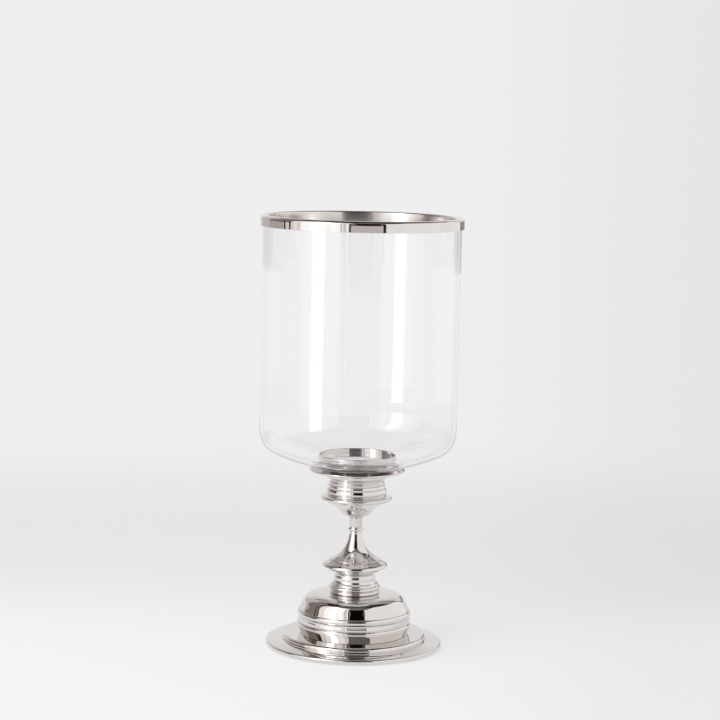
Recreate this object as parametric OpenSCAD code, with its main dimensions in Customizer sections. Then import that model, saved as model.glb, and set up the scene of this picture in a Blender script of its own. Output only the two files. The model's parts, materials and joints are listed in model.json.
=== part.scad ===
/* [Foot and dome] */
// Diameter of the foot plate
foot_d = 190; // [184:1:220]
// Diameter of the raised step on the foot plate
step_d = 156.2; // [150:0.2:164]
// Diameter over the beads of the drum
drum_d = 122.8; // [120:0.2:130]

/* [Stem] */
// Diameter of the wide disc half way up the stem
knop_d = 70.6; // [70:0.2:80]
// Diameter of the slim neck above the trumpet
neck_d = 14; // [13:0.2:16]
// Diameter of the bead round the vase
vase_d = 77.2; // [76:0.2:84]
// Diameter of the saucer that the glass stands on
saucer_d = 103.4; // [102.4:0.2:108]

/* [Glass shade] */
// Outer diameter of the glass
glass_d = 212; // [210:0.2:230]
// Thickness of the glass wall
glass_wall = 4; // [3:0.2:5]
// Thickness of the glass in the middle of its bottom
glass_bottom = 4.8; // [4:0.2:5.4]
// Height of the glass, from its underside to its lip
glass_h = 265.4; // [160:0.2:360]

/* [Rim band and candle cup] */
// How far the metal band stands out of the glass on the outside
band_proud = 2.5; // [2.2:0.1:4]
// Height of the metal band
band_h = 11.6; // [8:0.2:20]
// Thickness of the sheet that the band is folded from
band_sheet = 1.2; // [0.8:0.1:1.4]
// Inner diameter of the cup, for a pillar candle 76 mm across
cup_bore = 80.4; // [78:0.2:86]
// Height of the cup's wall above its floor
cup_wall_h = 4.8; // [4:0.2:12]

/* [Fixings] */
// Diameter of the tie rod
rod_d = 8; // [6:1:8]
// Thickness of the felt pads under the foot
pad_h = 1; // [1:0.1:3]

/* [Hidden] */
// Roundness of every turned surface, and the steps in an arc and between curve points
$fn = 120;
arc_steps = 10;
flow_steps = 5;

foot_r = foot_d / 2;
step_r = step_d / 2;
drum_r = drum_d / 2;
knop_r = knop_d / 2;
neck_r = neck_d / 2;
vase_r = vase_d / 2;
saucer_r = saucer_d / 2;
glass_r = glass_d / 2;
cup_r = cup_bore / 2;
rod_r = rod_d / 2;

// How high each piece stands on the one below
foot_h = 12.8;
drum_h = 25.8;
dome_h = 18;
ring_h = 3.9;
spool_h = 19.1;
knop_h = 13.1;
trumpet_h = 30.9;
collar_ring_h = 4.8;
neck_h = 10.2;
bowl_h = 25.2;
collar_h = 22.6;
saucer_land_h = 8;
gasket_h = 0.9;

// Where each piece starts
foot_z = pad_h;
drum_z = foot_z + foot_h;
dome_z = drum_z + drum_h;
ring_z = dome_z + dome_h;
spool_z = ring_z + ring_h;
knop_z = spool_z + spool_h;
trumpet_z = knop_z + knop_h;
collar_ring_z = trumpet_z + trumpet_h;
neck_z = collar_ring_z + collar_ring_h;
bowl_z = neck_z + neck_h;
collar_z = bowl_z + bowl_h;
saucer_z = collar_z + collar_h;
glass_z = saucer_z + saucer_land_h + gasket_h;
cup_z = glass_z + glass_bottom + gasket_h;

// Each piece of the stem has a low spigot that drops into a recess in the one below
spigot_h = 1;
spigot_gap = 0.1;
small_spigot_r = 12;
ring_spigot_r = 14;
rod_hole_r = rod_r + 0.25;

// The bore of the drum, which the foot plate and the bell both register in
drum_bore_r = drum_r - 6.9;

// The well in the foot, and the well in the saucer, that hold the nuts
foot_ceiling_h = 10.2;
saucer_floor_h = 2.6;
washer_h = 1.6;
washer_play = 0.2;
spring_h = 1.6;
foot_nut_h = 4;
gallery_washer_h = 1;
gallery_nut_h = 3;
nut_af = 13;
thread_play = 0.05;

// The cup's boss goes down through the hole in the glass
cup_sheet = 1.5;
boss_r = 8;
boss_top_gap = 0.5;
glass_hole_r = 9.6;

// The band's U section and the bedding that fills it
band_outer_r = glass_r + band_proud;
band_inner_r = glass_r - glass_wall - band_proud + 0.7;
bed_h = 1;
outer_fold_r = 2.8;
inner_fold_r = 1.8;

pad_r = 6.5;
pad_count = 4;
pad_ring_r = foot_r - 9.5;

nickel = [0.82, 0.8, 0.77];
steel = [0.6, 0.61, 0.63];
silicone = [0.75, 0.76, 0.74];

// Points along an arc about [radius, height] between two angles
function arc(centre, radius, from, to) =
    [for (i = [0:arc_steps])
        let (a = from + (to - from) * i / arc_steps)
        centre + radius * [cos(a), sin(a)]];

// A smooth curve through all of its points
function flow(p) =
    let (last = len(p) - 1)
    [for (k = [0:last - 1], i = [0:flow_steps - 1])
        let (a = p[max(k - 1, 0)], b = p[k], c = p[k + 1], d = p[min(k + 2, last)],
             t = i / flow_steps)
        0.5 * (2 * b + (c - a) * t + (2 * a - 5 * b + 4 * c - d) * t * t
            + (3 * b - a - 3 * c + d) * t * t * t),
     p[last]];

// The same curve moved in by a thickness that goes evenly from one value to another
function inset(p, from, to) =
    let (last = len(p) - 1)
    [for (i = [0:last])
        let (along = p[min(i + 1, last)] - p[max(i - 1, 0)],
             depth = from + (to - from) * i / last)
        p[i] + depth * [-along[1], along[0]] / norm(along)];

// The points backwards
function reversed(p) = [for (i = [len(p) - 1:-1:0]) p[i]];

// The underside of a stem piece: from the rod's hole out to its spigot
function spigot(radius) =
    [[rod_hole_r, spigot_gap - spigot_h], [radius - spigot_gap, spigot_gap - spigot_h],
     [radius - spigot_gap, 0]];

// The top of a stem piece: the recess for the next one's spigot, in to the rod's hole
function recess(radius, top) =
    [[radius, top], [radius, top - spigot_h], [rod_hole_r, top - spigot_h]];

// A piece turned about the upright axis from its outline in [radius, height]
module turned(base, outline) {
    translate([0, 0, base]) rotate_extrude() polygon(outline);
}

module washer(base, inner_r, outer_r, h) {
    turned(base, [[inner_r, 0], [outer_r, 0], [outer_r, h], [inner_r, h]]);
}

// A thin hexagon nut with both faces chamfered
module hex_nut(base, h) {
    corner_r = nut_af / 2 / cos(30);
    chamfer = 0.9;
    difference() {
        intersection() {
            translate([0, 0, base]) cylinder(r = corner_r, h = h, $fn = 6);
            turned(base, [[0, 0], [nut_af / 2, 0], [corner_r + 0.2, chamfer],
                          [corner_r + 0.2, h - chamfer], [nut_af / 2, h], [0, h]]);
        }
        translate([0, 0, base - 1]) cylinder(r = rod_r + thread_play, h = h + 2);
    }
}

// Four felt dots under the rim of the foot
module foot_pads() {
    color("dimgray")
    for (i = [0:pad_count - 1])
        rotate([0, 0, 360 / pad_count * (i + 0.5)])
            translate([pad_ring_r, 0, 0]) cylinder(r = pad_r, h = pad_h);
}

// A cast plate: a flange that rises to a round step, cored out underneath
module foot_plate() {
    rib_r = foot_r - 21;
    edge_roll = 2;
    step_roll = 3.6;
    color(nickel)
    turned(foot_z, concat(
        [[rod_hole_r, foot_ceiling_h], [56, foot_ceiling_h]],
        flow([[56, foot_ceiling_h], [64, 8.6], [70, 5.2], [rib_r - 0.8, 0.8]]),
        [[rib_r, 0], [foot_r - 1.2, 0], [foot_r - 0.3, 0.5], [foot_r, 1.4]],
        arc([foot_r - edge_roll, 3], edge_roll, 0, 68),
        flow([[foot_r - 1.6, 4.9], [foot_r - 6, 5.9], [foot_r - 11, 7.1], [step_r + 0.4, 8.5]]),
        arc([step_r - step_roll, 9.2], step_roll, -6, 90),
        [[drum_bore_r - spigot_gap, foot_h], [drum_bore_r - spigot_gap, foot_h + spigot_h],
         [drum_bore_r - 4, foot_h + spigot_h], [drum_bore_r - 4, foot_h],
         [rod_hole_r, foot_h]]
    ));
}

// A cast ring: a quarter-round foot, a bead, a hollow band and a second bead
module drum() {
    belly_r = 15.8;
    belly_z = 10.7;
    low_bead_r = 2.4;
    high_bead_r = 2.8;
    color(nickel)
    turned(drum_z, concat(
        [[drum_bore_r, 0]],
        arc([drum_r - 16.8, belly_z], belly_r, -asin(belly_z / belly_r), -10),
        arc([drum_r - low_bead_r, 10.6], low_bead_r, -66, 72),
        flow([[drum_r - 0.9, 13.1], [drum_r - 0.5, 14], [drum_r - 0.8, 16.6],
              [drum_r - 1.3, 19], [drum_r - 1.5, 20.4]]),
        arc([drum_r - 0.2 - high_bead_r, 22.8], high_bead_r, -52, 84),
        [[drum_r - 2.9, drum_h], [drum_bore_r + 2, drum_h],
         [drum_bore_r + 2, drum_h - spigot_h], [drum_bore_r, drum_h - spigot_h]]
    ));
}

// The bell that closes the drum, cast hollow
module dome_cap() {
    seat_r = drum_bore_r + 2 - spigot_gap;
    skirt_r = drum_r - 2.4;
    color(nickel)
    turned(dome_z, concat(
        [[rod_hole_r, 13.4], [rod_hole_r + 8, 13.4]],
        flow([[14, 14], [32, 14.8], [43, 13.4], [47.8, 10.4], [50.4, 6],
              [52, 2.2], [seat_r - 2.2, spigot_gap - spigot_h]]),
        [[seat_r, spigot_gap - spigot_h], [seat_r, 0]],
        flow([[skirt_r, 0], [skirt_r - 1, 2.2], [skirt_r - 2.1, 4.6], [skirt_r - 3.1, 7.2],
              [skirt_r - 4.2, 9.8], [skirt_r - 5.7, 12.2], [skirt_r - 8, 14.3],
              [skirt_r - 11, 15.8], [skirt_r - 15.4, 16.9], [skirt_r - 21, 17.5],
              [skirt_r - 27, 17.8], [26.4, dome_h]]),
        recess(ring_spigot_r, dome_h)
    ));
}

// The plain ring between the bell and the spool
module stack_ring() {
    roll = 2;
    color(nickel)
    turned(ring_z, concat(
        spigot(ring_spigot_r),
        [[24.8, 0]],
        arc([24.9, ring_h / 2], roll, -72, 66),
        [[24.9, ring_h]],
        recess(ring_spigot_r, ring_h)
    ));
}

// The waisted piece that stands on the ring, with a bead round its foot
module spool() {
    bead_r = 2.4;
    color(nickel)
    turned(spool_z, concat(
        spigot(ring_spigot_r),
        [[24.9, 0]],
        arc([25.5, 2.8], bead_r, -70, 74),
        [[25.6, 5.4], [25.3, 6.1]],
        flow([[25.2, 6.7], [24.4, 7.5], [23.4, 8.4], [22.7, 9.6], [22.4, 11],
              [22.4, 13], [22.2, 14.1], [21.7, 15.1], [21.4, 16.2], [21.8, 17.6],
              [22.9, 18.9]]),
        [[23.2, spool_h]],
        recess(small_spigot_r, spool_h)
    ));
}

// The wide disc between the spool and the trumpet
module knop_disc() {
    edge_roll = 3.7;
    color(nickel)
    turned(knop_z, concat(
        spigot(small_spigot_r),
        [[23.2, 0]],
        flow([[23.6, 0.2], [26.6, 1.5], [30.2, 3.2], [33, 4.7], [34.8, 5.9]]),
        arc([knop_r - edge_roll, 6.8], edge_roll, -8, 60),
        flow([[knop_r - 2, 10.1], [31, 11.4], [28.6, 12.7]]),
        [[28, knop_h]],
        recess(small_spigot_r, knop_h)
    ));
}

// The piece that flares from the slim neck out to the disc
module trumpet() {
    lip_r = 0.7;
    color(nickel)
    turned(trumpet_z, concat(
        spigot(small_spigot_r),
        [[26.8, 0]],
        arc([27, lip_r], lip_r, -84, 84),
        flow([[26, 1.9], [21.4, 4.1], [17.6, 6.6], [14.7, 9.1], [12.5, 11.9],
              [10.8, 15], [9.2, 18.9], [7.9, 23.3], [6.9, 27.7], [neck_r - 0.5, trumpet_h]]),
        [[rod_hole_r, trumpet_h]]
    ));
}

// The small bead at the top of the trumpet
module collar_ring() {
    roll = 1.9;
    color(nickel)
    turned(collar_ring_z, concat(
        [[rod_hole_r, 0], [neck_r - 0.4, 0], [neck_r - 0.4, 0.4]],
        arc([neck_r - 0.5, collar_ring_h / 2], roll, -72, 72),
        [[neck_r - 0.2, collar_ring_h - 0.3], [neck_r - 0.2, collar_ring_h],
         [rod_hole_r, collar_ring_h]]
    ));
}

// The slim neck under the vase
module neck_ferrule() {
    color(nickel)
    turned(neck_z, concat(
        [[rod_hole_r, 0], [neck_r - 0.3, 0]],
        flow([[neck_r - 0.2, 0.5], [neck_r - 0.1, 3], [neck_r - 0.1, 7.4],
              [neck_r + 0.1, 9.4], [neck_r + 0.5, neck_h]]),
        [[rod_hole_r, neck_h]]
    ));
}

// The bowl-shaped lower half of the vase, spun hollow, with a bead for a lip
module vase_bowl() {
    bead_r = 2.5;
    seat_r = 29;
    color(nickel)
    turned(bowl_z, concat(
        [[rod_hole_r, 0], [neck_r + 0.4, 0]],
        flow([[neck_r + 0.5, 0.3], [10.4, 1.4], [13.4, 2.9], [16.6, 5.8], [19.4, 8.8],
              [22.2, 11.4], [25.8, 13.9], [31, 16.8], [35.2, 18.9]]),
        arc([vase_r - bead_r, 21.9], bead_r, -68, 84),
        [[34.6, 24.8], [33.6, bowl_h], [seat_r, bowl_h], [seat_r, bowl_h - spigot_h]],
        flow([[28.4, 19.4], [22.4, 15.6], [17.8, 11.6], [13.6, 7.6], [9.6, 5.8]]),
        [[rod_hole_r, 5.6]]
    ));
}

// The waisted upper half of the vase: a round reed, a step, a bead and a flared lip
module vase_collar() {
    seat_r = 29 - spigot_gap;
    lip_bore_r = 28;
    color(nickel)
    turned(collar_z, concat(
        [[26, spigot_gap - spigot_h], [seat_r, spigot_gap - spigot_h], [seat_r, 0],
         [32.6, 0], [32.2, 0.6]],
        flow([[32.4, 1.1], [32.8, 2.6], [32.8, 4.6], [32.4, 6.1], [31.6, 7.4],
              [30.8, 8]]),
        [[30.9, 8.4]],
        flow([[31.1, 8.8], [31.1, 10.4], [30.8, 11.3], [30, 12]]),
        [[29.5, 12.2]],
        arc([28.9, 13.7], 1.3, -54, 60),
        flow([[28.8, 15.3], [28.6, 16.2], [29.4, 17.2], [31.8, 18.4], [33.9, 19.6]]),
        [[35, 20.1], [35, collar_h - 0.3], [34.7, collar_h], [lip_bore_r, collar_h],
         [lip_bore_r, collar_h - 2], [26, collar_h - 3]]
    ));
}

// The shallow dish that carries the glass, with a rounded rim and a well for the nut
module saucer() {
    rim_roll = 3.9;
    land_r = saucer_r - 5.6;
    well_r = 31;
    plug_r = 28 - spigot_gap;
    color(nickel)
    turned(saucer_z, concat(
        [[rod_hole_r, 0], [plug_r - 2, 0], [plug_r - 2, -spigot_h], [plug_r, -spigot_h],
         [plug_r, 0]],
        flow([[35.6, 0], [40.4, 1], [46, 2.4], [49.4, 3.2]]),
        arc([saucer_r - 1.4, 4.7], 1.4, -70, -4),
        arc([saucer_r - rim_roll, 4.8], rim_roll, 0, 76),
        [[land_r + 0.8, saucer_land_h + 0.5], [land_r, saucer_land_h],
         [saucer_r - 13, saucer_land_h]],
        flow([[saucer_r - 13, saucer_land_h], [saucer_r - 15.4, 6.6],
              [well_r + 2, 3.8], [well_r, saucer_floor_h]]),
        [[rod_hole_r, saucer_floor_h]]
    ));
}

// The long rod that clamps the whole stem and goes up into the cup's boss
module tie_rod() {
    bottom_z = foot_z + 1.4;
    top_z = cup_z - 0.8;
    point = 0.8;
    color(steel)
    turned(0, [[0, bottom_z], [rod_r - point, bottom_z], [rod_r, bottom_z + point],
               [rod_r, top_z - point], [rod_r - point, top_z], [0, top_z]]);
}

module foot_washer() {
    base = foot_z + foot_ceiling_h - washer_h;
    color(steel) washer(base, rod_r + washer_play, 12, washer_h);
}

// The spring washer, split across one side
module spring_washer() {
    split_w = 1.2;
    base = foot_z + foot_ceiling_h - washer_h - spring_h;
    color(steel)
    difference() {
        washer(base, rod_r + washer_play, 7, spring_h);
        translate([rod_r - 1, -split_w / 2, base - 1]) cube([6, split_w, spring_h + 2]);
    }
}

// The thin nut under the foot
module foot_nut() {
    base = foot_z + foot_ceiling_h - washer_h - spring_h - foot_nut_h;
    color(steel) hex_nut(base, foot_nut_h);
}

// The washer in the saucer's well
module gallery_washer() {
    color(steel) washer(saucer_z + saucer_floor_h, rod_r + washer_play, 8.5, gallery_washer_h);
}

// The thin nut in the saucer's well, which clamps the stem together
module gallery_nut() {
    color(steel) hex_nut(saucer_z + saucer_floor_h + gallery_washer_h, gallery_nut_h);
}

// The soft ring between the saucer and the glass
module lower_gasket() {
    color(silicone)
    washer(saucer_z + saucer_land_h, saucer_r - 12.4, saucer_r - 6, gasket_h);
}

// The blown glass: a straight wall on a shallow bowl with a hole in its middle
module glass_shade() {
    lip = 1;
    inner_r = glass_r - glass_wall;
    shoulder = flow([[45, 0], [50, 0.5], [58, 2.4], [70, 6.3], [82, 10.7],
                     [glass_r - 12.5, 15.9], [glass_r - 6, 21.3], [glass_r - 1.9, 28.8],
                     [glass_r - 0.4, 36.6], [glass_r, 44]]);
    color([0.86, 0.9, 0.9, 0.35])
    turned(glass_z, concat(
        [[glass_hole_r, 0]],
        shoulder,
        [[glass_r, glass_h - lip], [glass_r - lip, glass_h], [inner_r + lip, glass_h],
         [inner_r, glass_h - lip]],
        reversed(inset(shoulder, glass_bottom, glass_wall)),
        [[glass_hole_r, glass_bottom]]
    ));
}

// Sheet folded over the lip of the glass into a U, with the outer fold rounder
module rim_band() {
    top = glass_h + bed_h + band_sheet;
    outer_centre = [band_outer_r - outer_fold_r, top - outer_fold_r];
    inner_centre = [band_inner_r + inner_fold_r, top - inner_fold_r];
    color(nickel)
    turned(glass_z, concat(
        [[band_outer_r - band_sheet, top - band_h], [band_outer_r, top - band_h]],
        arc(outer_centre, outer_fold_r, 0, 90),
        arc(inner_centre, inner_fold_r, 90, 180),
        [[band_inner_r, top - band_h], [band_inner_r + band_sheet, top - band_h]],
        arc(inner_centre, inner_fold_r - band_sheet, 180, 90),
        arc(outer_centre, outer_fold_r - band_sheet, 90, 0)
    ));
}

// The bedding that holds the band on the glass
module rim_cement() {
    lip = 1;
    outer_r = band_outer_r - band_sheet;
    inner_r = band_inner_r + band_sheet;
    glass_inner_r = glass_r - glass_wall;
    top = glass_h + bed_h;
    low = top + band_sheet - band_h + 0.6;
    color("whitesmoke")
    turned(glass_z, [
        [glass_r, low], [outer_r, low], [outer_r, top - 1.7], [outer_r - 1.7, top],
        [inner_r + 0.7, top], [inner_r, top - 0.7], [inner_r, low], [glass_inner_r, low],
        [glass_inner_r, glass_h - lip], [glass_inner_r + lip, glass_h],
        [glass_r - lip, glass_h], [glass_r, glass_h - lip]
    ]);
}

// The soft ring between the glass and the candle cup
module upper_gasket() {
    color(silicone) washer(cup_z - gasket_h, glass_hole_r + 0.4, 38, gasket_h);
}

// The shallow cup that holds the candle
module candle_cup() {
    lip_h = cup_sheet + cup_wall_h;
    outer_r = cup_r + cup_sheet;
    fold_r = 1.2;
    color(nickel)
    turned(cup_z, concat(
        [[0, 0], [outer_r - fold_r, 0]],
        arc([outer_r - fold_r, fold_r], fold_r, -90, 0),
        arc([outer_r - cup_sheet / 2, lip_h - cup_sheet / 2], cup_sheet / 2, 0, 180),
        [[cup_r, cup_sheet], [0, cup_sheet]]
    ));
}

// The tapped boss brazed under the cup, which screws on to the tie rod
module cup_boss() {
    bore_r = rod_r + thread_play;
    chamfer = 0.6;
    low_z = saucer_z + saucer_floor_h + gallery_washer_h + gallery_nut_h + 1.2;
    color(nickel)
    turned(0, [[bore_r, low_z], [boss_r - chamfer, low_z], [boss_r, low_z + chamfer],
               [boss_r, cup_z], [0, cup_z], [0, cup_z - boss_top_gap],
               [bore_r, cup_z - boss_top_gap]]);
}

foot_pads();
foot_plate();
drum();
dome_cap();
stack_ring();
spool();
knop_disc();
trumpet();
collar_ring();
neck_ferrule();
vase_bowl();
vase_collar();
saucer();
tie_rod();
foot_washer();
spring_washer();
foot_nut();
gallery_washer();
gallery_nut();
lower_gasket();
glass_shade();
rim_band();
rim_cement();
upper_gasket();
candle_cup();
cup_boss();
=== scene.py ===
import json
import math

import bpy
from mathutils import Matrix, Vector, noise


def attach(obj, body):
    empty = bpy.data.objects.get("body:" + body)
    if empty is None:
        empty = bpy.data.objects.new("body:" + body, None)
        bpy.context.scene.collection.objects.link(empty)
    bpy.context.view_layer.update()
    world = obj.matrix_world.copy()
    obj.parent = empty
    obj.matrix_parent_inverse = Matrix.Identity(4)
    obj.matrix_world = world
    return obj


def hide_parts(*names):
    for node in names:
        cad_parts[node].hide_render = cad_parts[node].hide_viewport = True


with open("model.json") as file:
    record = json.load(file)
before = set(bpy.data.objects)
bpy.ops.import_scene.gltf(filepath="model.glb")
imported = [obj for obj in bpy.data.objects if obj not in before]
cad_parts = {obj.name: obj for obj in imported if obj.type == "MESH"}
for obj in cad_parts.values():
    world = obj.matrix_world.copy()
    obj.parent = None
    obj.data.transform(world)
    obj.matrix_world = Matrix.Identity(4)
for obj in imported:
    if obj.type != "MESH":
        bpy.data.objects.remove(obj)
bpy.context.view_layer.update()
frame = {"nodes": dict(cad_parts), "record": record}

MM = 0.001
TURNED_STEPS = 192
GLASS_STEPS = 288
SMALL_STEPS = 72
HARD_CORNER = math.radians(24)
FINE_TURN = math.radians(4.5)
TINY = 1e-6

# A turn smaller than STRAIGHT is dropped. An eased corner takes at most EASE_SHARE of a side,
# and a side longer than HELD_FROM eases is held straight beyond it. A straight side LONG_RUN
# times longer than the curve's last step gets a point to keep it flat.
STRAIGHT = math.radians(0.3)
EASE_SHARE = 0.3
HELD_FROM = 6
LONG_RUN = 3.5


# ---------------------------------------------------------------- outlines

def seam_points(node):
    """The corners of a turned piece where its seam lies, and the edges that join them."""
    mesh = frame["nodes"][node].data
    key_of = {}
    for vertex in mesh.vertices:
        x, y, z = vertex.co
        if abs(y) < TINY and x > -TINY:
            key_of[vertex.index] = (round(x, 6), round(z, 6))
    links = {key: set() for key in key_of.values()}
    for edge in mesh.edges:
        a, b = (key_of.get(i) for i in edge.vertices)
        if a and b and a != b:
            links[a].add(b)
            links[b].add(a)
    return links


def outline_of(node):
    """The closed (radius, height) outline of a turned piece, read from the frame.
    A flat ring has no edge on the seam, so loose ends at one height are joined."""
    links = seam_points(node)
    loose = {}
    for point, others in links.items():
        if len(others) < 2:
            loose.setdefault(point[1], []).append(point)
            if not others:
                loose[point[1]].append(point)
    for height, ends in loose.items():
        ends.sort()
        if len(ends) % 2:
            ends.insert(0, (0.0, height))
            links.setdefault(ends[0], set())
        for a, b in zip(ends[::2], ends[1::2]):
            if a != b:
                links[a].add(b)
                links[b].add(a)
    ends = [point for point, others in links.items() if len(others) == 1]
    start = min(ends) if ends else max(links)
    loop = [start]
    came_from, here = None, start
    while True:
        onward = sorted(p for p in links[here] if p != came_from)
        if not onward:
            break
        came_from, here = here, onward[0]
        if here == start:
            break
        loop.append(here)
    return straightened(loop)


def straightened(loop):
    """The outline without points that lie on a straight line between their neighbours."""
    kept = []
    for i, point in enumerate(loop):
        before = Vector(loop[i - 1])
        after = Vector(loop[(i + 1) % len(loop)])
        here = Vector(point)
        if point[0] < TINY or (here - before).angle(after - here, 0) > STRAIGHT:
            kept.append(point)
    return kept


def between(a, b, c, d, t):
    """A point on the smooth curve from b to c."""
    return 0.5 * (2 * b + (c - a) * t + (2 * a - 5 * b + 4 * c - d) * t * t
                  + (3 * b - a - 3 * c + d) * t * t * t)


def polished(points, hard, rounds):
    """The curves between hard corners evened out, as polishing does."""
    count = len(points)
    for _ in range(rounds):
        points = [p if hard[i] or hard[i - 1] or hard[(i + 1) % count]
                  else (points[i - 1] + 2 * p + points[(i + 1) % count]) / 4
                  for i, p in enumerate(points)]
    return points


def arc(centre, radius, start, end, steps=10):
    """Points along an arc about (radius, height), by angles in degrees."""
    turns = [math.radians(start + (end - start) * k / steps) for k in range(steps + 1)]
    return [(centre[0] + radius * math.cos(a), centre[1] + radius * math.sin(a)) for a in turns]


def recut(loop, low, high, fresh):
    """The outline with its run of points inside that box cut to a fresh line, upwards."""
    inside = [low[0] <= r <= high[0] and low[1] <= z <= high[1] for r, z in loop]
    first = next(i for i in range(len(loop)) if inside[i] and not inside[i - 1])
    loop, inside = loop[first:] + loop[:first], inside[first:] + inside[:first]
    count = inside.index(False)
    if loop[count - 1][1] < loop[0][1]:
        fresh = fresh[::-1]
    return fresh + loop[count:]


def dressed(loop, ease, rounds=0):
    """The outline with its hard corners eased by that radius and its curves made finer."""
    points = [Vector(p) for p in loop]
    count = len(points)

    def turn(i):
        before, here, after = points[i - 1], points[i], points[(i + 1) % count]
        return (here - before).angle(after - here, 0)

    turns = [turn(i) for i in range(count)]
    on_axis = [p.x < TINY for p in points]
    hard = [on_axis[i] or turns[i] > HARD_CORNER for i in range(count)]
    points = polished(points, hard, rounds)
    fine = []
    for i in range(count):
        j = (i + 1) % count
        here, after = points[i], points[j]
        length = (after - here).length
        along = (after - here).normalized()
        room = min(ease, EASE_SHARE * length)
        start = here + along * room if hard[i] and not on_axis[i] else here
        end = after - along * room if hard[j] and not on_axis[j] else after
        if hard[i] and not on_axis[i]:
            back = points[i - 1] - here
            entry = here + back.normalized() * min(ease, EASE_SHARE * back.length)
            fine.append((entry + 2 * here + start) / 4)
        fine.append(start)
        held = along * (room if length > HELD_FROM * room else 0)
        low, high = start, end
        reach_in = (here - points[i - 1]).length
        reach_out = (points[(j + 1) % count] - after).length
        flat_in = not hard[i] and length > LONG_RUN * reach_in
        flat_out = not hard[j] and length > LONG_RUN * reach_out
        if flat_in:
            fine.append(start + along * reach_in)
        if hard[i] and held.length:
            low = start + held
            fine.append(low)
        if hard[j]:
            high = end - held
        if not (hard[i] and hard[j] or flat_in or flat_out):
            before = points[i - 1] if not hard[i] else here * 2 - after
            beyond = points[(j + 1) % count] if not hard[j] else after * 2 - here
            bend = max(turns[i] if not hard[i] else 0, turns[j] if not hard[j] else 0)
            steps = max(1, math.ceil(bend / FINE_TURN))
            for k in range(1, steps):
                point = between(before, here, after, beyond, k / steps)
                if (point - low).dot(along) > 0 and (high - point).dot(along) > 0:
                    fine.append(point)
        if flat_out:
            fine.append(end - along * reach_out)
        elif hard[j] and held.length:
            fine.append(high)
        if hard[j] and not on_axis[j]:
            fine.append(end)
    return [(max(p.x, 0.0), p.y) for p in fine]


# ---------------------------------------------------------------- meshes

def mesh_piece(name, verts, faces):
    """A smooth-shaded object made from corners and faces."""
    mesh = bpy.data.meshes.new(name)
    mesh.from_pydata(verts, [], faces)
    mesh.validate()
    mesh.update()
    mesh.shade_smooth()
    piece = bpy.data.objects.new(name, mesh)
    bpy.context.scene.collection.objects.link(piece)
    return piece


def turned(name, loop, steps=TURNED_STEPS, shift=None, centres=((0.0, 0.0),)):
    """A closed outline turned about the upright axis, or about each centre.
    shift may move a point in or out."""
    verts, faces = [], []
    for centre_x, centre_y in centres:
        rings = []
        for radius, height in loop:
            if radius < TINY:
                verts.append((centre_x, centre_y, height))
                rings.append([len(verts) - 1] * steps)
                continue
            ring = []
            for k in range(steps):
                angle = math.tau * k / steps
                r, z = shift(radius, height, angle) if shift else (radius, height)
                ring.append(len(verts))
                verts.append((centre_x + r * math.cos(angle), centre_y + r * math.sin(angle), z))
            rings.append(ring)
        for low, high in zip(rings, rings[1:] + rings[:1]):
            for k in range(steps):
                j = (k + 1) % steps
                face = []
                for corner in (low[k], low[j], high[j], high[k]):
                    if corner not in face:
                        face.append(corner)
                if len(face) > 2:
                    faces.append(face)
    area = sum(a[0] * b[1] - b[0] * a[1] for a, b in zip(loop, loop[1:] + loop[:1]))
    if area < 0:
        faces = [face[::-1] for face in faces]
    return mesh_piece(name, verts, faces)


def stands_for(piece, node, material):
    """Hands a piece to the frame in place of its CAD node, in the node's own body."""
    bodies = frame["record"]["behaviour"]["bodies"]
    body = next(name for name, nodes in bodies.items() if node in nodes)
    piece.data.materials.append(material)
    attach(piece, body)
    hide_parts(node)


# ---------------------------------------------------------------- shader maths

class Value:
    """A shader socket that adds Math nodes when it is reckoned with."""

    def __init__(self, recipe, socket):
        self.recipe = recipe
        self.socket = socket

    def __add__(self, other):
        return self.recipe.maths("ADD", self, other)

    def __radd__(self, other):
        return self.recipe.maths("ADD", other, self)

    def __sub__(self, other):
        return self.recipe.maths("SUBTRACT", self, other)

    def __rsub__(self, other):
        return self.recipe.maths("SUBTRACT", other, self)

    def __mul__(self, other):
        return self.recipe.maths("MULTIPLY", self, other)

    def __rmul__(self, other):
        return self.recipe.maths("MULTIPLY", other, self)

    def __truediv__(self, other):
        return self.recipe.maths("DIVIDE", self, other)

    def __pow__(self, other):
        return self.recipe.maths("POWER", self, other)

    def most(self, other):
        return self.recipe.maths("MAXIMUM", self, other)


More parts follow.
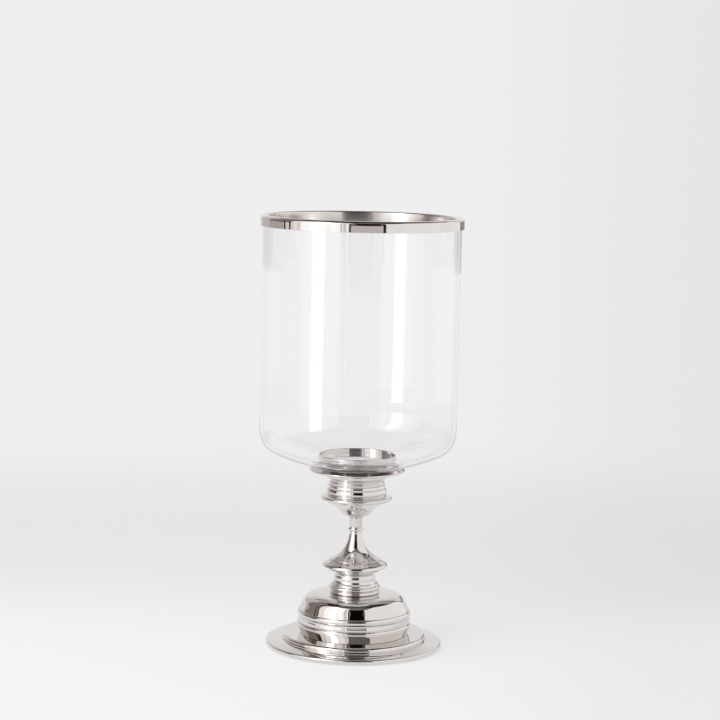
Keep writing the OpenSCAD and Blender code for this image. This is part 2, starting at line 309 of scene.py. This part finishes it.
class Recipe:
    """The nodes of one finish, lamp card or world."""

    def __init__(self, owner):
        owner.use_nodes = True
        self.tree = owner.node_tree
        self.tree.nodes.clear()

    def node(self, kind, settings=None, sockets=None, out=0):
        """A node of that kind: its settings first, then the values or links of its sockets."""
        made = self.tree.nodes.new(kind)
        for name, setting in (settings or {}).items():
            setattr(made, name, setting)
        for name, value in (sockets or {}).items():
            if isinstance(value, Value):
                self.tree.links.new(value.socket, made.inputs[name])
            else:
                made.inputs[name].default_value = value
        return Value(self, made.outputs[out]) if made.outputs else made

    def place(self):
        """Where a point lies on the object, in metres."""
        return self.node("ShaderNodeTexCoord", out="Object")

    def scaled(self, vector, scale):
        return self.node("ShaderNodeVectorMath", {"operation": "MULTIPLY"}, {0: vector, 1: scale})

    def maths(self, operation, *values):
        return self.node("ShaderNodeMath", {"operation": operation}, dict(enumerate(values)))

    def axes(self, vector):
        """The x, y and z of a vector."""
        parts = self.node("ShaderNodeSeparateXYZ", None, {0: vector}).socket.node.outputs
        return [Value(self, part) for part in parts]

    def noise(self, vector, scale, detail=2.0, roughness=0.5):
        return self.node("ShaderNodeTexNoise", None, {
            "Vector": vector, "Scale": scale, "Detail": detail, "Roughness": roughness})

    def step(self, value, low, high, to_low=0.0, to_high=1.0):
        """The value carried from one range to another, smoothly and held at both ends."""
        return self.node("ShaderNodeMapRange", {"interpolation_type": "SMOOTHSTEP"}, {
            "Value": value, "From Min": low, "From Max": high,
            "To Min": to_low, "To Max": to_high})

    def tint(self, share, first, second):
        """A colour between two, by share."""
        return self.node("ShaderNodeMix", {"data_type": "RGBA"},
                         {0: share, 6: first, 7: second}, out=2)

    def bump(self, height, strength, depth):
        return self.node("ShaderNodeBump", None,
                         {"Height": height, "Strength": strength, "Distance": depth})

    def surface(self, sockets):
        shader = self.node("ShaderNodeBsdfPrincipled", None, sockets)
        return self.finish(shader)

    def finish(self, shader, kind="ShaderNodeOutputMaterial"):
        return self.node(kind, None, {"Surface": shader})


def finish_named(name):
    """A new material and the recipe that fills it."""
    material = bpy.data.materials.new(name)
    return material, Recipe(material)


# ---------------------------------------------------------------- finishes

BRIGHT_NICKEL = (0.745, 0.72, 0.705, 1)
SMUDGED_NICKEL = (0.70, 0.675, 0.655, 1)
RIM_WALL = (0.1043, 0.1047)
BRIGHT_ZINC = (0.62, 0.63, 0.64, 1)
DULL_ZINC = (0.52, 0.53, 0.53, 1)
PALE_SILICONE = (0.78, 0.79, 0.77, 1)
CLOUDY_SILICONE = (0.72, 0.73, 0.71, 1)
WHITE_CEMENT = (0.84, 0.82, 0.77, 1)
STAINED_CEMENT = (0.74, 0.72, 0.67, 1)
DARK_FELT = (0.055, 0.053, 0.055, 1)
GREY_FELT = (0.13, 0.125, 0.125, 1)
CLEAR = (0.998, 0.996, 1.0, 1)
# Painted shade for the glass: its see-through colour darkens to these where it is seen edge-on
# (EDGE_SLANT) near its bottom (EDGE_FADE), paler on the inner faces.
OUTER_EDGE_PAINTED_SHADE = (0.40, 0.39, 0.42, 1)
INNER_EDGE_PAINTED_SHADE = (0.93, 0.93, 0.94, 1)
EDGE_SLANT = (0.82, 0.95)
EDGE_FADE = (0.225, 0.250)


def polished_nickel(name, satin=0.0):
    """Nickel plate, lathe-polished: faint rings of polishing, soft waves and light smudges.
    satin is how much rougher the inside of the rim is left."""
    ring_scale, hair_scale, wave_scale, smudge_scale = 5200.0, 900.0, 34.0, 21.0
    ring_depth, hair_depth = 0.012, 0.010
    material, recipe = finish_named(name)
    place = recipe.place()
    x, y, z = recipe.axes(place)
    radius = (x * x + y * y) ** 0.5
    rings_at = recipe.node("ShaderNodeCombineXYZ", None, {0: radius, 1: z, 2: 0.0})
    rings = recipe.noise(rings_at, ring_scale, 1.0)
    waves = recipe.noise(place, wave_scale, 1.0)
    smudges = recipe.noise(place, smudge_scale, 3.0, 0.6)
    hairs_at = recipe.scaled(place, (1.0, 1.0, 9.0))
    hairs = recipe.noise(hairs_at, hair_scale, 2.0, 0.7)
    height = rings * ring_depth + hairs * hair_depth + waves
    shine = recipe.step(smudges, 0.3, 0.8, 0.015, 0.055)
    if satin:
        shine = shine + recipe.step(radius, *RIM_WALL, satin, 0.0)
    recipe.surface({
        "Base Color": recipe.tint(recipe.step(smudges, 0.35, 0.75),
                                  BRIGHT_NICKEL, SMUDGED_NICKEL),
        "Metallic": 1.0,
        "Roughness": shine,
        "Normal": recipe.bump(height, 0.35, 0.0005),
    })
    return material


def zinc_steel():
    """Zinc-plated steel, a little dull and cloudy, for the rod, nuts and washers."""
    material, recipe = finish_named("zinc_plated_steel")
    place = recipe.place()
    cloud = recipe.noise(place, 260.0, 4.0, 0.6)
    grit = recipe.noise(place, 3000.0, 2.0)
    recipe.surface({
        "Base Color": recipe.tint(recipe.step(cloud, 0.3, 0.7), BRIGHT_ZINC, DULL_ZINC),
        "Metallic": 1.0,
        "Roughness": recipe.step(cloud, 0.2, 0.8, 0.24, 0.42),
        "Normal": recipe.bump(grit + cloud * 0.5, 0.3, 0.0001),
    })
    return material


def clear_glass(name, painted_edge_shade):
    """Mouth-blown glass: clear, mirroring more towards its edges, with long shallow waves.
    The outline of its bottom is darkened to that painted shade, standing in for the dark edge that
    thick glass shows."""
    material, recipe = finish_named(name)
    place = recipe.place()
    waves = recipe.noise(recipe.scaled(place, (1.0, 1.0, 0.35)), 26.0, 1.0)
    waved = recipe.bump(waves, 0.12, 0.002)
    slant = recipe.node("ShaderNodeLayerWeight", None, {"Blend": 0.5, "Normal": waved},
                        out="Facing")
    z = recipe.axes(place)[2]
    # painted shade: the see-through colour darkens where the glass is seen edge-on near its bottom
    edge = recipe.step(slant, *EDGE_SLANT) * recipe.step(z, *EDGE_FADE, 1.0, 0.0)
    clear = recipe.node("ShaderNodeBsdfTransparent", None,
                        {"Color": recipe.tint(edge, CLEAR, painted_edge_shade)})
    gloss = recipe.node("ShaderNodeBsdfPrincipled", None, {
        "Base Color": (1, 1, 1, 1), "Metallic": 1.0, "Roughness": 0.02, "Normal": waved})
    recipe.finish(recipe.node("ShaderNodeMixShader", None, {
        0: slant ** 5.0 * 0.96 + 0.04, 1: clear, 2: gloss}))
    return material


def soft_ring():
    """Moulded silicone that lets some light through, for the gaskets."""
    material, recipe = finish_named("silicone_ring")
    place = recipe.place()
    cloud = recipe.noise(place, 120.0, 3.0)
    recipe.surface({
        "Base Color": recipe.tint(recipe.step(cloud, 0.3, 0.7), PALE_SILICONE, CLOUDY_SILICONE),
        "Roughness": recipe.step(cloud, 0.2, 0.8, 0.35, 0.5),
        "Transmission Weight": 0.45,
        "IOR": 1.41,
        "Normal": recipe.bump(recipe.noise(place, 1500.0, 2.0), 0.2, 0.00008),
    })
    return material


def hard_cement():
    """White bedding cement with fine pits."""
    material, recipe = finish_named("white_bedding")
    place = recipe.place()
    pits = recipe.noise(place, 1400.0, 4.0, 0.65)
    cloud = recipe.noise(place, 90.0, 3.0)
    recipe.surface({
        "Base Color": recipe.tint(recipe.step(cloud, 0.3, 0.7), WHITE_CEMENT, STAINED_CEMENT),
        "Roughness": recipe.step(pits, 0.2, 0.8, 0.75, 0.95),
        "Normal": recipe.bump(pits, 0.6, 0.0003),
    })
    return material


def pressed_felt():
    """Dark pressed felt, matted and fibrous."""
    material, recipe = finish_named("pressed_felt")
    place = recipe.place()
    fibres = recipe.noise(recipe.scaled(place, (1.0, 1.0, 0.4)), 2600.0, 4.0, 0.7)
    matted = recipe.noise(place, 500.0, 3.0)
    recipe.surface({
        "Base Color": recipe.tint(recipe.step(fibres, 0.3, 0.7), DARK_FELT, GREY_FELT),
        "Roughness": 0.95,
        "Sheen Weight": 0.5,
        "Sheen Roughness": 0.5,
        "Normal": recipe.bump(fibres + matted, 0.8, 0.0003),
    })
    return material


# ---------------------------------------------------------------- pieces

def turned_pieces(material, ease, *nodes, steps=TURNED_STEPS, rounds=0, reshape=None):
    """Turns each node's own outline again, finer and with eased corners. rounds is how often
    its curves are evened out, and reshape may recut the outline first."""
    for node in nodes:
        loop = outline_of(node)
        loop = dressed(reshape(loop) if reshape else loop, ease, rounds)
        stands_for(turned(node + "_shown", loop, steps), node, material)


nickel = polished_nickel("polished_nickel")
zinc = zinc_steel()
silicone = soft_ring()


def full_drum(loop):
    """The drum's beads turned fuller, the lower one running on into the foot."""
    line = ([(0.0582, 0.0139), (0.0583, 0.0142), (0.0590, 0.0161), (0.0597, 0.0180),
             (0.0604, 0.0200)]
            + arc((0.0578, 0.0232), 0.0035, -20, 62)
            + [(0.0604, 0.0272), (0.0606, 0.0278), (0.0605, 0.0300), (0.0603, 0.0322),
               (0.0602, 0.0334)]
            + arc((0.0565, 0.0361), 0.0047, -26, 50))
    return recut(loop, low=(0.0556, 0.01385), high=(0.0620, 0.0394), fresh=line)


def soft_step(loop):
    """The foot plate with a full roll round its step and a flatter flange beside it."""
    step_edge, flange_edge = 0.0784, 0.0933
    low, flange_z, high, flatter = 0.0058, 0.0059, 0.0096, 0.66
    loop = [(r, flange_z + (z - flange_z) * flatter)
            if step_edge < r < flange_edge and low < z < high else (r, z) for r, z in loop]
    roll = [(0.0780, 0.0083), (0.0771, 0.0085)] + arc((0.0743, 0.0105), 0.0034, -33, 86)
    return recut(loop, low=(0.0740, 0.0081), high=(step_edge, 0.0139), fresh=roll)


def shallower_beads(loop):
    """The vase collar with its beads cut shallower. The cut also draws in its two ends."""
    depth, reach, fade = 0.3, 2.4 * MM, 1.6 * MM
    bottom, top = min(z for r, z in loop), max(z for r, z in loop)
    wide = 0.72 * max(r for r, z in loop)
    rows = [p for p in loop if p[0] > wide]
    cut = []
    for r, z in loop:
        if r > wide:
            near = [p[0] for p in rows if abs(p[1] - z) < reach]
            share = min(1.0, (z - bottom) / fade, (top - z) / fade)
            r -= depth * share * (r - (min(near) + max(near)) / 2)
        cut.append((r, z))
    return cut


def coned_rim(loop):
    """The saucer's rim with a cone turned on its upper side."""
    line = [(51.70, 192.1), (51.58, 192.5), (51.32, 192.88), (48.72, 195.31), (48.42, 195.55),
            (48.05, 195.78), (47.6, 195.88)]
    return recut(loop, low=(0.0480, 0.19205), high=(0.0518, 0.1961),
                 fresh=[(r * MM, z * MM) for r, z in line])


def eased_band(loop):
    """The rim band with its top eased inwards outside and its inner wall leaning outwards."""
    top, outer = max(z for r, z in loop), max(r for r, z in loop)
    inner, ease = outer - 4.5 * MM, 4.2 * MM
    curl, wall_lean, skirt = 52.0, 0.056, 0.2
    cut = []
    for here, after in zip(loop, loop[1:] + loop[:1]):
        cut.append(here)
        if outer - min(here[0], after[0]) < TINY and abs(after[1] - here[1]) > ease:
            heights = [top - share * ease for share in (0.45, 0.6, 0.75, 0.9, 1.0)]
            heights = [z for z in heights if min(here[1], after[1]) < z < max(here[1], after[1])]
            cut += [(outer, z) for z in sorted(heights, reverse=after[1] < here[1])]
    shaped = []
    for r, z in cut:
        share = min(1.0, max(0.0, (r - inner) / (outer - inner)))
        lean = share * curl * max(0.0, z - top + ease) ** 2
        shaped.append((r - lean if share > skirt else r - wall_lean * (top - z), z))
    return shaped


turned_pieces(nickel, 0.25 * MM, "stack_ring", "collar_ring", "neck_ferrule")
turned_pieces(nickel, 0.25 * MM, "foot_plate", reshape=soft_step)
turned_pieces(nickel, 0.25 * MM, "drum", rounds=2, reshape=full_drum)
turned_pieces(nickel, 0.25 * MM, "dome_cap", "knop_disc", "trumpet", "vase_bowl", rounds=4)
turned_pieces(nickel, 0.25 * MM, "spool", rounds=1)
turned_pieces(nickel, 0.25 * MM, "vase_collar", rounds=1, reshape=shallower_beads)
turned_pieces(nickel, 0.25 * MM, "saucer", reshape=coned_rim)
turned_pieces(polished_nickel("rim_nickel", 0.14), 0.2 * MM, "rim_band", steps=GLASS_STEPS,
              reshape=eased_band)
turned_pieces(nickel, 0.2 * MM, "candle_cup", steps=GLASS_STEPS)
turned_pieces(nickel, 0.2 * MM, "cup_boss", steps=SMALL_STEPS)
turned_pieces(zinc, 0.15 * MM, "foot_washer", "gallery_washer", steps=SMALL_STEPS)
turned_pieces(silicone, 0.2 * MM, "lower_gasket", "upper_gasket")
turned_pieces(hard_cement(), 0.1 * MM, "rim_cement", steps=GLASS_STEPS)
turned_pieces(clear_glass("blown_glass", OUTER_EDGE_PAINTED_SHADE), 0.4 * MM, "glass_shade",
              steps=GLASS_STEPS)


def line_shade():
    """Gives the inside of the shade its own glass, whose painted edge shade is nearly clear,
    without the dark painted outline.
    """
    bottom_slope, bottom_below = 0.3, 0.3
    shade = bpy.data.objects["glass_shade_shown"]
    shade.visible_shadow = False
    shade.data.materials.append(clear_glass("blown_glass_inside", INNER_EDGE_PAINTED_SHADE))
    for face in shade.data.polygons:
        outward = face.normal.xy.dot(face.center.xy)
        if outward < 0 or face.normal.z > bottom_slope and face.center.z < bottom_below:
            face.material_index = 1


line_shade()

THREAD_PITCH = 1.25 * MM
THREAD_DEPTH = 0.6 * MM
RUN_OUT = 2
CREST = 0.12
FLANK = 0.7
ROD_THREADS = ((0.0024, 0.0210), (0.1720, 0.2012))
NUT_FLATS = 13.0 * MM
NUT_CHAMFER = 0.58 * MM
SIXTH = math.radians(60)


def reach_of(node):
    """The least and greatest x, y and z of a CAD node."""
    corners = [vertex.co for vertex in frame["nodes"][node].data.vertices]
    return ([min(c[i] for c in corners) for i in range(3)],
            [max(c[i] for c in corners) for i in range(3)])


def steps_between(low, high, pace):
    """Even steps from low to high, each as near to that pace as can be."""
    count = max(1, round((high - low) / pace))
    return [low + (high - low) * k / count for k in range(count + 1)]


def threaded_rod():
    """The tie rod, with a rolled thread at each end that runs out into the plain shank."""
    low, high = reach_of("tie_rod")
    radius, bottom, top = high[0], low[2], high[2]
    point = 0.8 * MM
    heights = [z for ends in ROD_THREADS for z in steps_between(*ends, THREAD_PITCH / 8)]
    heights = [z for z in heights if bottom + point < z < top - point]
    loop = ([(0.0, bottom), (radius - point, bottom), (radius, bottom + point)]
            + [(radius, z) for z in heights]
            + [(radius, top - point), (radius - point, top), (0.0, top)])

    def cut(r, z, angle):
        depth = 0.0
        for start, end in ROD_THREADS:
            if start <= z <= end:
                inner = end if start < (bottom + top) / 2 else start
                share = min(1.0, abs(z - inner) / (RUN_OUT * THREAD_PITCH))
                wave = abs(2 * ((z / THREAD_PITCH - angle / math.tau) % 1.0) - 1)
                depth = share * THREAD_DEPTH * min(1.0, max(0.0, (wave - CREST) / FLANK))
        return min(r, radius - depth), z

    stands_for(turned("tie_rod_shown", loop, SMALL_STEPS, cut), "tie_rod", zinc)


def hexagon_nut(node):
    """A thin nut, chamfered to a circle on both faces and countersunk at the bore."""
    low, high = reach_of(node)
    bottom, top = low[2], high[2]
    bore, sink = 4.05 * MM, 0.4 * MM
    flats, corners = NUT_FLATS / 2, NUT_FLATS / 2 / math.cos(SIXTH / 2)
    slope = [(flats + (corners - flats) * k / 5, NUT_CHAMFER * k / 5) for k in range(6)]
    loop = ([(bore + sink, bottom)] + [(r, bottom + z) for r, z in slope]
            + [(r, top - z) for r, z in slope[::-1]]
            + [(bore + sink, top), (bore, top - sink), (bore, bottom + sink)])

    def flat(r, z, angle):
        return (min(r, flats / math.cos(angle % SIXTH - SIXTH / 2)) if r > flats else r), z

    piece = turned(node + "_shown", loop, SMALL_STEPS, flat)
    piece.data.set_sharp_from_angle(angle=math.radians(25))
    stands_for(piece, node, zinc)


def split_washer():
    """The spring washer: a square-cut ring, sprung a little apart where it is split."""
    low, high = reach_of("spring_washer")
    inner, outer, gap = 4.2 * MM, high[1], 1.0 * MM
    thick, spring, ease = 1.3 * MM, 0.28 * MM, 0.14 * MM
    section = [(inner + ease, 0), (outer - ease, 0), (outer, ease), (outer, thick - ease),
               (outer - ease, thick), (inner + ease, thick), (inner, thick - ease), (inner, ease)]
    half = gap / 2 / outer
    verts, faces = [], []
    for k in range(SMALL_STEPS + 1):
        share = k / SMALL_STEPS
        angle = half + (math.tau - 2 * half) * share
        for r, z in section:
            verts.append((r * math.cos(angle), r * math.sin(angle), low[2] + z + spring * share))
    size = len(section)
    for k in range(SMALL_STEPS):
        for i in range(size):
            j = (i + 1) % size
            faces.append((k * size + i, (k + 1) * size + i, (k + 1) * size + j, k * size + j))
    faces += [tuple(range(size)), tuple(range(len(verts) - 1, len(verts) - size - 1, -1))]
    piece = mesh_piece("spring_washer_shown", verts, [face[::-1] for face in faces])
    piece.data.set_sharp_from_angle(angle=math.radians(50))
    stands_for(piece, "spring_washer", zinc)


def felt_pads():
    """Four discs punched from felt: soft at the edges and a little uneven all round."""
    high = reach_of("foot_pads")[1]
    radius, thick, ragged = 6.5 * MM, high[2], 0.022
    place = high[0] - radius
    centres = [(place * a, place * b) for a in (-1, 1) for b in (-1, 1)]
    loop = [(0.0, 0.0)] + [(radius * r, thick * z) for r, z in (
        (0.5, 0.0), (0.88, 0.0), (0.93, 0.04), (0.965, 0.18), (0.975, 0.4), (0.975, 0.6),
        (0.965, 0.82), (0.93, 0.96), (0.88, 1.0), (0.5, 1.0))] + [(0.0, thick)]

    def woolly(r, z, angle):
        at = Vector((math.cos(angle) * 9, math.sin(angle) * 9, z * 4000))
        return r * (1 + ragged * noise.noise(at)) if r > 0.9 * radius else r, z

    stands_for(turned("foot_pads_shown", loop, SMALL_STEPS, woolly, centres), "foot_pads",
               pressed_felt())


threaded_rod()
hexagon_nut("foot_nut")
hexagon_nut("gallery_nut")
split_washer()
felt_pads()


# ---------------------------------------------------------------- stage

# A card stands round the lantern at a distance, and its edges are given as a turn and a rise in
# degrees, seen from EYE_LEVEL. FLOOR is a rise that is below the floor, where CARD_FOOT stops it.
FLOOR_HALF = 30.0
CARD_STEPS = 6
EYE_LEVEL = 0.2
CARD_FOOT = 0.002
FLOOR = -9
PALE = (0.862, 0.858, 0.864, 1)
# Painted shade on the floor's glow, in a band behind the lantern.
PAINTED_SWEEP_SHADE = (0.765, 0.755, 0.762, 1)
# Painted shade towards +X, on the floor's glow and the backdrop.
PALE_PAINTED_SIDE_SHADE = (0.80, 0.79, 0.795, 1)
SWEEP_PAINTED_SIDE_SHADE = (0.725, 0.715, 0.722, 1)
SIDE_REACH = (0.03, 0.16)
EYE_BACK = 2.32
BLACK = (0.004, 0.004, 0.004, 1)
DIM_BROWN = (0.26, 0.22, 0.205, 1)
DARK = (0.014, 0.012, 0.012, 1)
CEILING = (0.21, 0.185, 0.182, 1)
LIT_CEILING = (0.46, 0.42, 0.41, 1)
SWEEP_TOP = (0.70, 0.67, 0.66, 1)


def card(name, rows, distance, colour, strength=1.0, folds=0.0):
    """A curved screen or flag round the lantern. Each row is a list of (turn, rise) in
    degrees, where a turn of 0 is the front and grows towards +X. folds is how dark the
    pleats of its cloth are."""
    verts, width = [], 0
    for row in rows:
        start = len(verts)
        for (turn_a, rise_a), (turn_b, rise_b) in zip(row, row[1:]):
            for k in range(CARD_STEPS + 1):
                t = k / CARD_STEPS
                angle = math.radians(turn_a + (turn_b - turn_a) * t)
                rise = math.radians(rise_a + (rise_b - rise_a) * t)
                verts.append((distance * math.sin(angle), -distance * math.cos(angle),
                              max(CARD_FOOT, EYE_LEVEL + distance * math.tan(rise))))
        width = len(verts) - start
    faces = [(i + j * width, i + 1 + j * width, i + 1 + (j + 1) * width, i + (j + 1) * width)
             for j in range(len(rows) - 1) for i in range(width - 1)]
    panel = mesh_piece(name, verts, faces)
    material, recipe = finish_named(name + "_cloth")
    if folds:
        pleats = recipe.noise(recipe.scaled(recipe.place(), (1.0, 1.0, 0.04)), 9.0, 3.0)
        folded = tuple(part * (1.0 - folds) for part in colour[:3]) + (1,)
        colour = recipe.tint(recipe.step(pleats, 0.42, 0.62), colour, folded)
    recipe.finish(recipe.node("ShaderNodeEmission", None, {"Color": colour, "Strength": strength}))
    panel.data.materials.append(material)
    panel.visible_camera = False
    panel.visible_shadow = False


def rays_seen(recipe, *kinds):
    """1 for a ray of any of these kinds."""
    rays = recipe.node("ShaderNodeLightPath").socket.node.outputs
    seen = Value(recipe, rays[kinds[0]])
    for kind in kinds[1:]:
        seen = seen.most(Value(recipe, rays[kind]))
    return seen


def pale_floor():
    """A pale floor that runs on into the backdrop: near the lantern it takes a soft shadow. Its
    glow has painted shade in a band behind the lantern and towards +X.
    """
    shade_grows, shade_fades, shade_depth = (-0.02, 0.38), (0.4, 1.35), 0.9
    shadow_fades, glow_near, glow_far = (0.35, 1.6), 0.7, 1.0
    verts = [(-FLOOR_HALF, -FLOOR_HALF, 0), (FLOOR_HALF, -FLOOR_HALF, 0),
             (FLOOR_HALF, FLOOR_HALF, 0), (-FLOOR_HALF, FLOOR_HALF, 0)]
    floor = mesh_piece("pale_floor", verts, [(0, 1, 2, 3)])
    material, recipe = finish_named("pale_floor_paint")
    x, y, z = recipe.axes(recipe.place())
    paint = recipe.node("ShaderNodeBsdfPrincipled", None, {"Base Color": PALE, "Roughness": 0.9})
    # painted shade: the floor's glow darkens in a band from just behind the lantern to about 1.35
    # m back
    shade = recipe.step(y, *shade_grows) * recipe.step(y, *shade_fades, 1.0, 0.0)
    # painted shade: the floor's glow darkens towards +X, as if lit from the left
    painted_side_shade = recipe.step(x / (y + EYE_BACK).most(0.5), *SIDE_REACH)
    shown = recipe.tint(painted_side_shade, recipe.tint(shade * shade_depth, PALE, PAINTED_SWEEP_SHADE),
                        recipe.tint(shade * shade_depth, PALE_PAINTED_SIDE_SHADE, SWEEP_PAINTED_SIDE_SHADE))
    glow = recipe.node("ShaderNodeEmission", None, {"Color": shown, "Strength": 1.0})
    seen = rays_seen(recipe, "Is Camera Ray", "Is Glossy Ray", "Is Transmission Ray")
    far = recipe.step((x * x + y * y) ** 0.5, *shadow_fades, glow_near, glow_far)
    recipe.finish(recipe.node("ShaderNodeMixShader", None, {0: seen * far, 1: paint, 2: glow}))
    floor.data.materials.append(material)


def studio_world():
    """A pale backdrop for the eye, with painted shade towards +X. Reflections see a dark ceiling,
    a dim room at the sides and the backdrop curving up behind. Each pair is where one tone gives
    way to the next."""
    zenith_front, zenith_back, zenith = (-0.5, -0.15), (0.34, 0.5), (0.6, 0.72)
    lit_from, black_to, backdrop_edge = (0.2, 0.6), (0.555, 0.60), (0.542, 0.552)
    sweep_dims, sides_end, behind_from = (0.3, 0.54), (0.5, 0.62), (122, 136)
    world = bpy.data.worlds.new("studio")
    bpy.context.scene.world = world
    recipe = Recipe(world)
    way = recipe.node("ShaderNodeTexCoord", out="Generated")
    x, y, z = recipe.axes(way)
    turn = recipe.maths("ARCTAN2", recipe.maths("ABSOLUTE", x), y * -1.0) * (180 / math.pi)
    overhead = recipe.step(y, *zenith_front) * recipe.step(y, *zenith_back, 1.0, 0.0)
    lit = recipe.tint(recipe.step(y, *lit_from), CEILING, LIT_CEILING)
    ceiling = recipe.tint(overhead * recipe.step(z, *zenith), lit, DARK)
    edged = recipe.tint(recipe.step(z, *black_to), BLACK, ceiling)
    sweep = recipe.tint(recipe.step(z, *sweep_dims), PALE, SWEEP_TOP)
    behind = recipe.tint(recipe.step(z, *backdrop_edge), sweep, edged)
    sides = recipe.tint(recipe.step(z, *sides_end), DIM_BROWN, ceiling)
    room = recipe.tint(recipe.step(turn, *behind_from), sides, behind)
    seen = rays_seen(recipe, "Is Camera Ray", "Is Transmission Ray")
    # painted shade: the backdrop seen by the camera darkens towards +X
    wall = recipe.tint(recipe.step(x, *SIDE_REACH), PALE, PALE_PAINTED_SIDE_SHADE)
    shade = recipe.tint(seen, room, wall)
    back = recipe.node("ShaderNodeBackground", None, {"Color": shade, "Strength": 1.0})
    recipe.finish(back, "ShaderNodeOutputWorld")


def upright(turn_a, turn_b, low, high):
    """The rows of a plain card between two turns."""
    return [[(turn_a, low), (turn_b, low)], [(turn_a, high), (turn_b, high)]]


def overhead_lamp():
    """Lifts the floor and the dull pieces to an even level, unseen in the metal."""
    lamp = bpy.data.lights.new("overhead_lamp", "AREA")
    lamp.shape = "DISK"
    lamp.size = 2.2
    lamp.energy = 48.0
    held = bpy.data.objects.new("overhead_lamp", lamp)
    held.location = (-0.9, -0.5, 2.4)
    held.visible_glossy = False
    held.visible_transmission = False
    bpy.context.scene.collection.objects.link(held)


WHITE = (1, 1, 1, 1)
WARM_WHITE = (1.0, 0.99, 0.98, 1)
BEIGE = (0.94, 0.915, 0.905, 1)
CREAM = (0.93, 0.86, 0.81, 1)
GREIGE = (0.64, 0.59, 0.575, 1)
DADO_BROWN = (0.50, 0.45, 0.44, 1)
WARM_GREY = (0.62, 0.59, 0.58, 1)
DARK_GREY = (0.36, 0.33, 0.33, 1)
LAMP_REACH = 1.7
POST_REACH = 1.8
SCREEN_REACH = 1.9
WALL_REACH = 2.0
FLAG_REACH = 2.2
pale_floor()
studio_world()
overhead_lamp()
card("left_lamp", upright(-57, -42, FLOOR, 55), LAMP_REACH, WHITE, 3.4)
card("left_screen_side", [[(-84, FLOOR), (-70, FLOOR)], [(-84, 50), (-70, 57)]], SCREEN_REACH,
     CREAM, 1.2, folds=0.4)
card("left_screen", [[(-70, FLOOR), (-24, FLOOR)], [(-70, 57), (-24, 55)]], SCREEN_REACH,
     WARM_WHITE, 1.4, folds=0.08)
card("left_screen_front", [[(-24, FLOOR), (-13, FLOOR)], [(-24, 55), (-13, 51)]], SCREEN_REACH,
     WARM_WHITE, 1.3, folds=0.45)

RIGHT_SCREEN_TOP = [(25.5, 37), (38, 44), (50, 52), (75, 58), (100, 52), (120, 42), (140, 34)]
card("right_screen", [[(turn, FLOOR) for turn, rise in RIGHT_SCREEN_TOP], RIGHT_SCREEN_TOP],
     WALL_REACH, BEIGE, 1.1)
card("front_flag", [[(-12, 4.4), (22.5, 4.4)], [(-5, 15), (19, 15)], [(-9, 28), (22, 28)],
                    [(-12, 42), (27, 42)]], FLAG_REACH, BLACK)
card("front_apron", upright(-12, 22.5, 0, 4.4), FLAG_REACH, GREIGE)
card("dado_left", upright(-125, -96, 1.5, 5), WALL_REACH, DADO_BROWN)
card("dim_left_wall", upright(-125, -96, 5, 55), WALL_REACH, DIM_BROWN)
card("grey_left_wall", upright(-152, -125, 1.5, 40), WALL_REACH, WARM_GREY)
card("grey_right_wall", upright(144, 166, 1.5, 12), WALL_REACH, DARK_GREY)

POSTS = ((-95, -92.5, 60), (-87, -84.5, 60), (-14, -12, 45), (22.5, 25.5, 40), (141, 144, 60))
for number, (turn_a, turn_b, high) in enumerate(POSTS, 1):
    card("post_%d" % number, upright(turn_a, turn_b, 3, high), POST_REACH, BLACK)


# ---------------------------------------------------------------- camera

EYE_DISTANCE = 2.3175
EYE_HEIGHT = 0.5869
EYE_SIDE = 0.00064
LOOK_DOWN = 6.81
LEAN = 1.25
LENS = 109.25
SENSOR_WIDTH = 36.0


def make_camera():
    """A long lens in front of the lantern, a little above it and looking down."""
    data = bpy.data.cameras.new("camera")
    data.lens = LENS
    data.sensor_width = SENSOR_WIDTH
    data.clip_start = 0.1
    data.clip_end = 200.0
    camera = bpy.data.objects.new("camera", data)
    bpy.context.scene.collection.objects.link(camera)
    tilt = Matrix.Rotation(math.radians(90 - LOOK_DOWN), 4, "X")
    lean = Matrix.Rotation(math.radians(LEAN), 4, "Z")
    place = Matrix.Translation((EYE_SIDE, -EYE_DISTANCE, EYE_HEIGHT))
    camera.matrix_world = place @ tilt @ lean
    bpy.context.scene.camera = camera


make_camera()
bpy.context.scene.view_settings.view_transform = "Standard"
